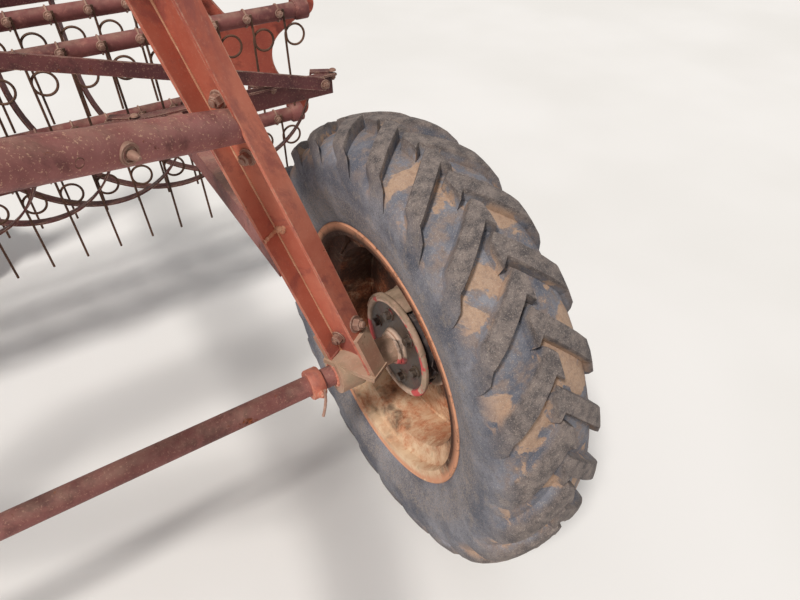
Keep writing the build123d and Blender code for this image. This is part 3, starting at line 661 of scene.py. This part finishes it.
def dirt_band(shape, origin, axis, spread, radius, turn, thickness):
    """A lumpy layer of caked dirt round part of a drum.

    The turn runs from the front over the top, in degrees.
    """
    wave_count = 7
    waves = []
    for _ in range(wave_count):
        waves.append((random.choice((3, 5, 7, 11, 17)), random.uniform(0, 6.28), random.uniform(-90, 90)))
    reach = turn[1] - turn[0]
    columns = max(24, int(reach / 2.5))
    whole = reach >= 360
    rows = 9
    start = len(shape.points)
    for k in range(columns + (0 if whole else 1)):
        share = k / columns
        angle = math.radians(turn[0] + reach * share)
        fade = 1.0 if whole else math.sin(math.pi * share) ** 0.4
        out = Vector((0, -math.cos(angle), math.sin(angle)))
        for n in range(rows):
            across_share = n / (rows - 1)
            along = spread[0] + (spread[1] - spread[0]) * across_share
            lump = sum(math.sin(turns * angle + phase + drift * along) for turns, phase, drift in waves)
            lump /= wave_count
            bulge = math.sin(math.pi * across_share) ** 0.5
            height = -0.002 + (thickness * (0.62 + 0.5 * lump) * fade + 0.002) * bulge
            shape.points.append(origin + axis * along + out * (radius + height))
        shape.points.append(origin + axis * (spread[0] + spread[1]) / 2 + out * (radius - 0.004))
    stride = rows + 1
    count = columns if whole else columns + 1
    for k in range(columns):
        here, there = start + k * stride, start + ((k + 1) % count) * stride
        for n in range(stride):
            m = (n + 1) % stride
            shape.faces.append([here + n, here + m, there + m, there + n])
    if not whole:
        shape.faces.append([start + n for n in range(stride)][::-1])
        shape.faces.append([start + columns * stride + n for n in range(stride)])


def wheel_disc(hand, origin, axis):
    """The dished disc with its ring of bolts."""
    disc = Shape()
    dish = [(0.050, 0.060), (0.050, 0.120), (0.044, 0.165), (0.046, 0.215), (0.050, 0.2555)]
    profile = dish + [(a + 0.008, r) for a, r in dish[::-1]]
    disc.lathe(profile, origin, axis, 96, closed=True)
    for k in range(8):
        spot = around(0.095, math.radians(22.5 + 45 * k))
        disc.bolt(origin + axis * 0.058 + spot, axis, 0.024, 0.008)
    disc.build("disc_" + hand, RIM_PAINT, "wheel_" + hand, "rusty_rim")


def hub_casting(hand, origin, axis):
    """The grooved drum, its hub cap and the bolts of its near face, which carry painted shade."""
    drum = Shape()
    near_face = [(-0.042, 0.0205), (-0.042, 0.044), (-0.040, 0.046), (-0.033, 0.050), (-0.033, 0.114)]
    near_flange = [(-0.039, 0.119), (-0.039, 0.130), (-0.036, 0.1335), (-0.031, 0.1345), (-0.028, 0.133)]
    groove = [(-0.0255, 0.124), (-0.019, 0.0970), (-0.014, 0.095), (0.014, 0.095), (0.019, 0.0970)]
    far_flange = [(0.0255, 0.124), (0.028, 0.133), (0.036, 0.1345), (0.039, 0.132), (0.040, 0.070)]
    cap = [(0.058, 0.070), (0.059, 0.062), (0.066, 0.056), (0.074, 0.048), (0.0755, 0.040), (0.0755, 0.0205)]
    drum.lathe(near_face + near_flange + groove + far_flange + cap, origin, axis, 96, closed=True)
    collar = [(-0.0418, 0.021), (-0.0418, 0.040), (-0.0455, 0.043), (-0.050, 0.041), (-0.051, 0.030)]
    drum.lathe(collar + [(-0.051, 0.021)], origin, axis, 48)
    for k in range(6):
        spot = around(0.086, math.radians(10 + 60 * k))
        drum.bolt(origin + axis * -0.0335 + spot, -axis, 0.020, 0.0)
    piece = drum.build("hub_" + hand + "_casting", HUB_IRON, "wheel_" + hand, "greasy_steel")

    def grease_and_painted_shade(point):
        reach = math.hypot(point.y - origin.y, point.z - origin.z)
        along = (point - origin).dot(axis)
        # The near face and its bolts, at 0.95: painted shade.
        if along < -0.0325 and 0.047 < reach < 0.118:
            return 0.95
        # The groove, at 1: grease.
        return 1.0 if abs(along) < 0.0265 and reach > 0.090 else 0.0

    mark(piece, "groove", grease_and_painted_shade)
    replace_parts(piece, "hub_" + hand)


def hub_dirt(hand, origin, axis):
    """Grease in the groove with lumps and straws in it, and caked dirt on the drum's rims."""
    body = "wheel_" + hand
    grease = Shape()
    dirt_band(grease, origin, axis, (-0.0225, 0.0225), 0.098, (0, 360), 0.020)
    grease.build("groove_grease_" + hand, GREASY_DIRT, body, "greasy_steel", 60)
    caked = Shape()
    for _ in range(14):
        angle = random.uniform(0, 2 * math.pi)
        deep = random.uniform(-0.016, 0.016)
        centre = origin + axis * deep + around(0.112, angle)
        wide = random.uniform(0.006, 0.015)
        lump = [(-0.003, wide), (0.002, wide * 0.9), (wide * 0.4, wide * 0.55), (wide * 0.5, 0)]
        caked.lathe(lump, centre, around(1, angle), 9)
    for _ in range(18):
        angle = random.uniform(0, 2 * math.pi)
        start = origin + axis * random.uniform(-0.014, 0.014) + around(0.116, angle)
        bend = random.uniform(0.15, 0.5)
        end = origin + axis * random.uniform(-0.02, 0.02) + around(0.119, angle + bend)
        middle = (start + end) / 2 + around(1, angle + bend / 2) * 0.003
        path = [start.lerp(middle, t).lerp(middle.lerp(end, t), t) for t in (0, 0.25, 0.5, 0.75, 1)]
        caked.tube(path, 0.0011, 5)
    caked.build("hub_dirt_" + hand, GREASY_DIRT, body, "greasy_steel", 60)
    crust = Shape()
    for low, high, first, last, reach, deep in (
        (-0.0415, -0.0255, 30, 165, 0.1335, 0.008), (0.0255, 0.0415, 35, 150, 0.1335, 0.008),
        (-0.0415, -0.0290, 205, 250, 0.1335, 0.006), (-0.0420, 0.0420, 78, 128, 0.1290, 0.018),
    ):
        dirt_band(crust, origin, axis, (low, high), reach, (first, last), deep)
    crust.build("hub_crust_" + hand, CAKED_DIRT, body, "greasy_steel", 60)


def drive_hub(side):
    for make in (wheel_disc, hub_casting, hub_dirt):
        make(*wheel_frame(side))


# Tail wheel


def tail_wheel():
    """The ribbed tail tyre, and its rim with the hub."""
    origin = TAIL_CENTRE
    half = [(0, 200), (3, 199.8), (5, 196.5), (7, 196.5), (9, 199.3), (17, 198.7), (19, 195.5), (21, 195.3)]
    half += [(23, 198), (31, 196.5), (37, 192.5), (43, 186), (47.5, 172), (49.5, 158), (48.5, 145), (44, 133)]
    half += [(39, 126), (37, 120.5)]
    profile = [(-a * MM, r * MM) for a, r in half[::-1]] + [(a * MM, r * MM) for a, r in half[1:]]
    tyre = Shape().lathe(profile, origin, X_AXIS, 120)
    piece = tyre.build("tail_rubber", RUBBER, "tail_wheel", "tyre_rubber", 30)

    def reach(point):
        return math.hypot(point.y - origin.y, point.z - origin.z)

    mark(piece, "sidewall", lambda p: 1.0 if reach(p) < 0.19 else 0.0)
    mark(piece, "lug_height", lambda p: 1.0 if reach(p) > 0.1968 else 0.0)
    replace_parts(piece, "tail_tyre")
    shell = [(-46, 124), (-44, 126), (-41, 125), (-40, 119.7), (-26, 119.7), (-20, 112), (20, 112)]
    shell += [(26, 119.7), (40, 119.7), (41, 125), (44, 126), (46, 124), (44, 119), (28, 115), (22, 108)]
    shell += [(4, 108), (4, 40), (20, 27), (57, 26), (58, 24), (58, 10.1), (-58, 10.1), (-58, 24)]
    shell += [(-57, 26), (-20, 27), (-4, 40), (-4, 108), (-22, 108), (-28, 115), (-44, 119)]
    rim = Shape().lathe([(a * MM, r * MM) for a, r in shell], origin, X_AXIS, 72, closed=True)
    for k in range(5):
        spot = around(0.062, math.radians(72 * k))
        for way in (1, -1):
            rim.bolt(origin + X_AXIS * (0.004 * way) + spot, X_AXIS * way, 0.017, 0.004)
    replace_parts(rim.build("tail_rim_steel", RIM_PAINT, "tail_wheel", "rusty_rim"), "tail_rim")


# Reel: tine bars with sprung tines, bolts on the heads and straps


def tine_path(x, bar_mid):
    """One spring tine: a clamped shank that bends forward, a coil that winds back, and a long tooth.

    The coil is two wires deep, so that it passes beside the stripper straps.
    """
    coil = 0.0295
    rise = 0.0072
    tooth = 0.218
    front = bar_mid.y - 0.0262
    coil_z = bar_mid.z - COIL_DROP
    bends = ((0.016, 0), (0.0, 0), (-0.02, 0.25), (-0.04, 0.8), (-0.052, 1))
    points = [Vector((x, front - rise / 2 * share, bar_mid.z + z)) for z, share in bends]
    steps = 28
    for k in range(steps + 1):
        share = k / steps
        angle = math.pi + 2 * math.pi * share
        y = front - rise * (0.5 - share)
        points.append(Vector((x + coil + coil * math.cos(angle), y, coil_z + coil * math.sin(angle))))
    last = points[-1]
    lean = random.uniform(-0.004, 0.004)
    for share in (0.1, 0.3, 0.5, 0.7, 0.85, 1.0):
        points.append(Vector((x + lean * share, last.y - 0.004 * share * share, coil_z - tooth * share)))
    return points


def tine_bars():
    """Four tubes with a collar at each end, their tines, and the clamps that hold the tines.

    The reel is oblique, so each bar's middle is at its own x.
    """
    for index, letter in enumerate("abcd"):
        node = "tine_bar_" + str(index + 1)
        body = "tine_bar_" + letter
        low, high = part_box(node)
        end = (high.x - low.x) / 2
        mid = Vector(((low.x + high.x) / 2, high.y - COLLAR_RADIUS, high.z - COLLAR_RADIUS))
        profile = [(-end, 0), (-end, 0.016), (-end + 0.002, 0.0285), (-end + 0.004, COLLAR_RADIUS)]
        profile += [(-end + 0.038, COLLAR_RADIUS), (-end + 0.040, 0.0275), (-end + 0.042, 0.0223)]
        profile += [(-a, r) for a, r in profile[::-1]]
        tube = Shape().lathe(profile, mid, X_AXIS, 40)
        for way in (1, -1):
            tube.bead(circle_path(mid + X_AXIS * (way * (end - 0.041)), X_AXIS, 0.0235, 40), 0.0028)
        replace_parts(tube.build("tine_tube_" + letter, TUBE_STEEL, body, "tine_steel"), node)
        wires = Shape()
        clamps = Shape()
        for tine in range(TINE_COUNT):
            x = mid.x + TINE_FIRST - tine * TINE_PITCH
            clamp_x = x - 0.011
            wires.tube(tine_path(x, mid), TINE_WIRE, 7)
            clamps.bolt(Vector((clamp_x, mid.y - 0.0222, mid.z + 0.004)), -Y_AXIS, 0.016, 0.003)
            ring = mid + X_AXIS * (clamp_x - mid.x)
            clamps.tube([ring + around(0.0235, a) for a in np.linspace(-2.6, 2.6, 18)], 0.0028, 6)
        wires.build("spring_tines_" + letter, SPRING_STEEL, body, "tine_steel", 50)
        clamps.build("tine_clamps_" + letter, BOLT_STEEL, body, "tine_steel")


def strap_bolts():
    """A round head and a nut where each strap's end lies on a rail."""
    heads = Shape()
    front_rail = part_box("front_rail")
    rear_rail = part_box("rear_rail")
    front_y = (front_rail[0].y + front_rail[1].y) / 2
    rear_y = (rear_rail[0].y + rear_rail[1].y) / 2
    for gap in STRAP_GAPS:
        strap_x = STRAP_FIRST - gap * TINE_PITCH
        for y, top in ((front_y, front_rail[1].z), (rear_y, rear_rail[1].z)):
            along = (y - REEL_MID.y) / SLANT_DIR.y
            x = strap_x + along * SLANT_DIR.x
            heads.dome(Vector((x, y, top + 0.006)), Z_AXIS, 0.0115)
            heads.bolt(Vector((x, y, top - 0.006)), -Z_AXIS, 0.017, 0.005)
    heads.build("strap_bolts", BOLT_STEEL, "frame", "faded_paint")


def across_reel(radius, angle):
    """A place across the reel's axis, at a radius and an angle from the slant."""
    return SLANT_DIR * (radius * math.cos(angle)) + Z_AXIS * (radius * math.sin(angle))


def head_fittings():
    """Nuts and pin welds on the reel's heads, and the caps of the bearings."""
    for end in (1, -1):
        name = side_name(end)
        centre = Vector((end * PIVOT_X, REEL_MID.y, REEL_MID.z))
        out = REEL_AXIS * end
        nuts = Shape()
        for k in range(4):
            spot = across_reel(0.058, FIRST_BAR + math.pi / 2 * k + math.pi / 4)
            nuts.bolt(centre + out * 0.062 + spot, out, 0.019, 0.004)
        for k in range(4):
            spot = across_reel(REEL_RADIUS, FIRST_BAR + math.pi / 2 * k)
            nuts.bead(circle_path(centre + out * 0.0625 + spot, out, 0.021, 30), 0.0022)
        nuts.build("head_bolts_" + name, BOLT_STEEL, "head_" + name, "faded_paint")
        cap = Shape()
        face = 0.142
        rim = [(face - 0.002, 0.0405), (face + 0.003, 0.0405), (face + 0.005, 0.036), (face + 0.005, 0.0186)]
        cap.lathe(rim, centre, out, 40)
        for k in range(3):
            spot = across_reel(0.034, math.radians(30 + 120 * k))
            cap.bolt(centre + out * (face + 0.004) + spot, out, 0.010, 0.0, washer=False)
        top = centre + out * 0.118 + Z_AXIS * 0.0445
        nipple = [(0, 0.005), (0.006, 0.005), (0.006, 0.003), (0.010, 0.0035), (0.013, 0.002), (0.013, 0)]
        cap.lathe(nipple, top, Z_AXIS, 12)
        cap.build("bearing_cap_" + name, HUB_IRON, "frame", "greasy_steel")


# Frame fittings: bolts, welds, pins and the collars of the axle tie


def handed(vector, side):
    """A left-hand direction or place, mirrored for the right side."""
    return Vector((side * vector.x, vector.y, vector.z))


def leg_point(z, opening, flange, side):
    """A point on the leg: height, then offsets towards the channel's open side and its front flange."""
    centre = LEG_FOOT + LEG_RISE * (z - LEG_FOOT.z)
    return handed(centre + LEG_OPEN * opening + LEG_FLANGE * flange, side)


def leg_fittings(side):
    """Bolts and welds on one leg, with the sand and the old splice weld inside its channel."""
    name = side_name(side)
    front = handed(LEG_FLANGE, side)
    inward = handed(LEG_OPEN, side)
    web = LEG_WALL - LEG_HALF_DEPTH
    crease = LEG_HALF_WIDTH - LEG_WALL
    bolts = Shape()
    for z, across_web in ((1.178, -0.012), (1.074, -0.0155), (0.642, -0.031)):
        bolts.bolt(leg_point(z, web, across_web, side), inward, 0.022, 0.006)
        bolts.bolt(leg_point(z, -LEG_HALF_DEPTH, across_web, side), -inward, 0.022, 0.010)
    ear_z = 0.699
    bolts.bolt(leg_point(ear_z, -0.004, LEG_HALF_WIDTH, side), front, 0.024, 0.008)
    bolts.bolt(leg_point(ear_z, -0.004, -LEG_HALF_WIDTH, side), -front, 0.024, 0.010)
    bolts.build("leg_bolts_" + name, BOLT_STEEL, "frame", "red_paint")
    welds = Shape()
    axle = Vector((side * 0.885, 0, AXLE_Z))
    out = X_AXIS * side
    welds.bead(circle_path(axle + out * 0.060, X_AXIS, 0.0365, 60), 0.0035)
    welds.bead(circle_path(axle - out * 0.0005, X_AXIS, 0.0265, 60), 0.004)
    for z, spread in ((1.464, 1.02), (0.593, 1.03)):
        deep, wide = LEG_HALF_DEPTH * spread, LEG_HALF_WIDTH * spread
        corners = ((deep, wide), (-deep, wide), (-deep, -wide), (deep, -wide))
        level = [leg_point(z, a, b, side) for a, b in corners]
        welds.bead([Vector((q.x, q.y, z)) for q in level], 0.004)
    welds.build("leg_welds_" + name, RED_PAINT, "frame", "red_paint", 60)
    sand = Shape()
    path = [leg_point(0.60 + 0.02 * k, web + 0.0006, -crease + 0.0006, side) for k in range(44)]
    sand.tube(path, 0.0022, 8, wobble=0.4)
    sand.build("crease_sand_" + name, CAKED_SAND, "frame", "red_paint", 60)
    splice = Shape()
    splice_z = 0.922
    across_leg = [(LEG_HALF_DEPTH, -crease), (0.006, -crease), (web, -crease), (web, -0.030), (web, -0.018)]
    splice.bead([leg_point(splice_z, a, b, side) for a, b in across_leg], 0.0042)
    for k in range(9):
        height = splice_z + random.uniform(-0.006, 0.006)
        spot = leg_point(height, web, random.uniform(-0.040, -0.020), side)
        splice.dome(spot, inward, random.uniform(0.004, 0.007))
    splice.build("splice_weld_" + name, CAKED_SAND, "frame", "red_paint", 60)


def pipe_fittings(side):
    """The pin and the small hole in the front of one main pipe."""
    name = side_name(side)
    run = handed(PIPE_RUN, side)
    out = handed(Vector((0.46, -0.87, -0.09)), side)
    out = (out - run * out.dot(run)).normalized()
    seat = handed(PIPE_TOP, side) + run * 0.711 + out * PIPE_RADIUS
    fitting = Shape()
    boss = [(-0.006, 0), (-0.006, 0.0165), (0.001, 0.0165), (0.0025, 0.0155), (0.0025, 0.0115)]
    fitting.lathe(boss + [(-0.0005, 0.0105), (-0.0005, 0)], seat, out, 32)
    tip = [(-0.001, 0.0075), (0.008, 0.0068), (0.016, 0.0050), (0.020, 0.0030), (0.021, 0)]
    fitting.lathe(tip, seat, out, 20)
    fitting.build("pipe_pin_" + name, BOLT_STEEL, "frame", "red_paint")
    hole = Shape()
    seat = handed(PIPE_TOP, side) + run * 0.636 + out * (PIPE_RADIUS - 0.0012)
    edge = [(-0.002, 0), (-0.002, 0.0072), (0.0009, 0.0072), (0.0012, 0.0065), (0.0004, 0.0058), (0.0002, 0)]
    hole.lathe(edge, seat, out, 24)
    hole.build("pipe_hole_" + name, SPRING_STEEL, "frame", "red_paint")


def beam_fittings():
    """Welds on the spine, and the bolts of the hitch, the hangers and the front rail."""
    spine_low, spine_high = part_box("spine")
    beam_low, beam_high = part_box("cross_beam")
    seams = Shape()
    for y in (beam_low.y, beam_high.y):
        seams.bead([Vector((-0.03, y, spine_high.z)), Vector((0.03, y, spine_high.z))], 0.004)
    for x in (-0.0305, 0.0305):
        for z in (spine_low.z + 0.012, spine_high.z - 0.012):
            low_end = Vector((x * 1.25, spine_low.y - 0.06, z - 0.05))
            seams.bead([low_end, Vector((x * 1.25, spine_low.y + 0.115, z))], 0.0028)
    seams.build("spine_welds", RED_PAINT, "frame", "red_paint", 60)
    holds = Shape()
    hitch_low, hitch_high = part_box("hitch_clevis")
    for x in (-0.040, 0.040):
        for z in (hitch_low.z + 0.016, hitch_high.z - 0.016):
            holds.bolt(Vector((x, hitch_high.y - 0.012, z)), -Y_AXIS, 0.018, 0.004)
    for z in (1.385, 1.45):
        holds.bolt(Vector((-0.038, 1.222, z)), -X_AXIS, 0.019, 0.006)
    rail_z = 0.862
    for x, z in ((0, rail_z), (0, 1.236), (1.3, rail_z), (-1.0, rail_z)):
        holds.bolt(Vector((x, 0.7985, z)), -Y_AXIS, 0.019, 0.006)
    holds.build("rail_bolts", BOLT_STEEL, "frame", "faded_paint")


def tie_fittings(side):
    """A collar with its bolt on one end of the axle tie, and the bent pin that hangs from it."""
    name = side_name(side)
    tie_end = Vector((side * 0.835, 0, AXLE_Z))
    ring = [(-0.016, 0.0245), (-0.016, 0.034), (-0.013, 0.036), (0.013, 0.036), (0.016, 0.034)]
    ring.append((0.016, 0.0245))
    clamp = Shape().lathe(ring, tie_end, X_AXIS * side, 48, closed=True)
    clamp.bolt(tie_end + Vector((0, -0.0355, 0)), -Y_AXIS, 0.016, 0.004, washer=False)
    clamp.build("tie_collar_" + name, RED_PAINT, "frame", "red_paint")
    top = tie_end + Vector((side * 0.004, -0.050, 0.004))
    offsets = ((0, 0, 0.020), (0, 0, 0), (-side * 0.004, -0.004, -0.030), (-side * 0.016, -0.010, -0.052))
    path = [top + Vector(offset) for offset in offsets]
    smooth = []
    for a, b, c in zip(path, path[1:], path[2:]):
        smooth += [a.lerp(b, t).lerp(b.lerp(c, t), t) for t in (0.25, 0.5, 0.75)]
    pin = Shape().tube([path[0]] + smooth + [path[-1]], 0.0035, 8)
    pin.build("split_pin_" + name, BOLT_STEEL, "frame", "red_paint")


def dress_cad_nodes():
    """Rounded edges and a finish on every CAD node that stays."""
    finishes = (
        (RED_PAINT, "leg_left leg_right spine cross_beam drawbar drawbar_gussets tail_post"),
        (FOOT_PAINT, "foot_left foot_right"),
        (PIPE_PAINT, "main_pipe_left main_pipe_right"),
        (DARK_PAINT, "axle_tie parking_stand carrier_arms hangers tail_fork hitch_clevis"),
        (FADED_PAINT, "front_rail rear_rail rail_braces stripper_straps bearing_arm_left bearing_arm_right"),
        (HEAD_PAINT, "reel_head_left reel_head_right"),
        (CAKED_DIRT, "axle_left axle_right"),
        (HUB_IRON, "drive_sheave"),
        (BOLT_STEEL, "stand_pin bar_pins_1 bar_pins_2 bar_pins_3 bar_pins_4"),
    )
    for material, names in finishes:
        for name in names.split():
            node = cad[name]
            node.data.materials.clear()
            node.data.materials.append(material)
            soften = node.modifiers.new("edges", "BEVEL")
            soften.width = 0.0015
            soften.segments = 2
            soften.limit_method = "ANGLE"
            soften.angle_limit = math.radians(40)
            soften.use_clamp_overlap = True
            soften.harden_normals = False


# Stage, light and camera


def stage():
    """A wide, pale floor."""
    f = Finish("studio_floor")
    tone = f.mix(f.step(f.noise(0.8, 3, 0.5), 0.3, 0.7), rgb(226, 224, 221), rgb(232, 230, 228))
    f.close(tone, 0.9, f.noise(4, 2, 0.5), 0.0004)
    mesh = bpy.data.meshes.new("floor")
    reach = 40
    corners = [(-reach, -reach, 0), (reach, -reach, 0), (reach, reach, 0), (-reach, reach, 0)]
    mesh.from_pydata(corners, [], [(0, 1, 2, 3)])
    mesh.materials.append(f.material)
    floor = bpy.data.objects.new("floor", mesh)
    bpy.context.scene.collection.objects.link(floor)


def light():
    """A white surrounding that lights softly, and one warm, soft sun."""
    world = bpy.data.worlds.new("studio")
    bpy.context.scene.world = world
    world.use_nodes = True
    nodes = world.node_tree.nodes
    links = world.node_tree.links
    background = nodes["Background"]
    background.inputs["Color"].default_value = (1, 1, 1, 1)
    path = nodes.new("ShaderNodeLightPath")
    seen = nodes.new("ShaderNodeMath")
    seen.operation = "MAXIMUM"
    links.new(path.outputs["Is Camera Ray"], seen.inputs[0])
    links.new(path.outputs["Is Transmission Ray"], seen.inputs[1])
    strength = nodes.new("ShaderNodeMix")
    strength.data_type = "FLOAT"
    strength.inputs["A"].default_value = 0.46
    strength.inputs["B"].default_value = 1.0
    links.new(seen.outputs[0], strength.inputs["Factor"])
    links.new(strength.outputs["Result"], background.inputs["Strength"])
    key = bpy.data.lights.new("key", "SUN")
    key.energy = 2.6
    key.angle = math.radians(9)
    key.color = (1.0, 0.965, 0.92)
    key_object = bpy.data.objects.new("key", key)
    bpy.context.scene.collection.objects.link(key_object)
    towards = Vector((0.50, 0.26, -0.82))
    key_object.rotation_euler = towards.to_track_quat("-Z", "Y").to_euler()


def camera():
    """The photo's camera, as it was fitted."""
    data = bpy.data.cameras.new("camera")
    data.sensor_fit = "HORIZONTAL"
    data.sensor_width = 36
    data.lens = 27
    data.clip_start = 0.05
    data.clip_end = 200
    viewer = bpy.data.objects.new("camera", data)
    bpy.context.scene.collection.objects.link(viewer)
    right = Vector((0.845, -0.5345, 0))
    look = Vector((0.397, 0.6275, -0.6698)).normalized()
    right = (right - look * right.dot(look)).normalized()
    up = right.cross(look)
    turn = Matrix((right, up, -look)).transposed().to_4x4()
    viewer.matrix_world = Matrix.Translation((0.5236, -0.8591, 1.6064)) @ turn
    scene = bpy.context.scene
    scene.camera = viewer
    scene.render.resolution_x = 800
    scene.render.resolution_y = 600
    scene.render.resolution_percentage = 100
    scene.view_settings.view_transform = "Standard"


for side in (1, -1):
    drive_tyre(side)
    drive_rim(side)
    drive_hub(side)
tail_wheel()
tine_bars()
strap_bolts()
head_fittings()
for side in (1, -1):
    leg_fittings(side)
    pipe_fittings(side)
beam_fittings()
for side in (1, -1):
    tie_fittings(side)
dress_cad_nodes()
stage()
light()
camera()
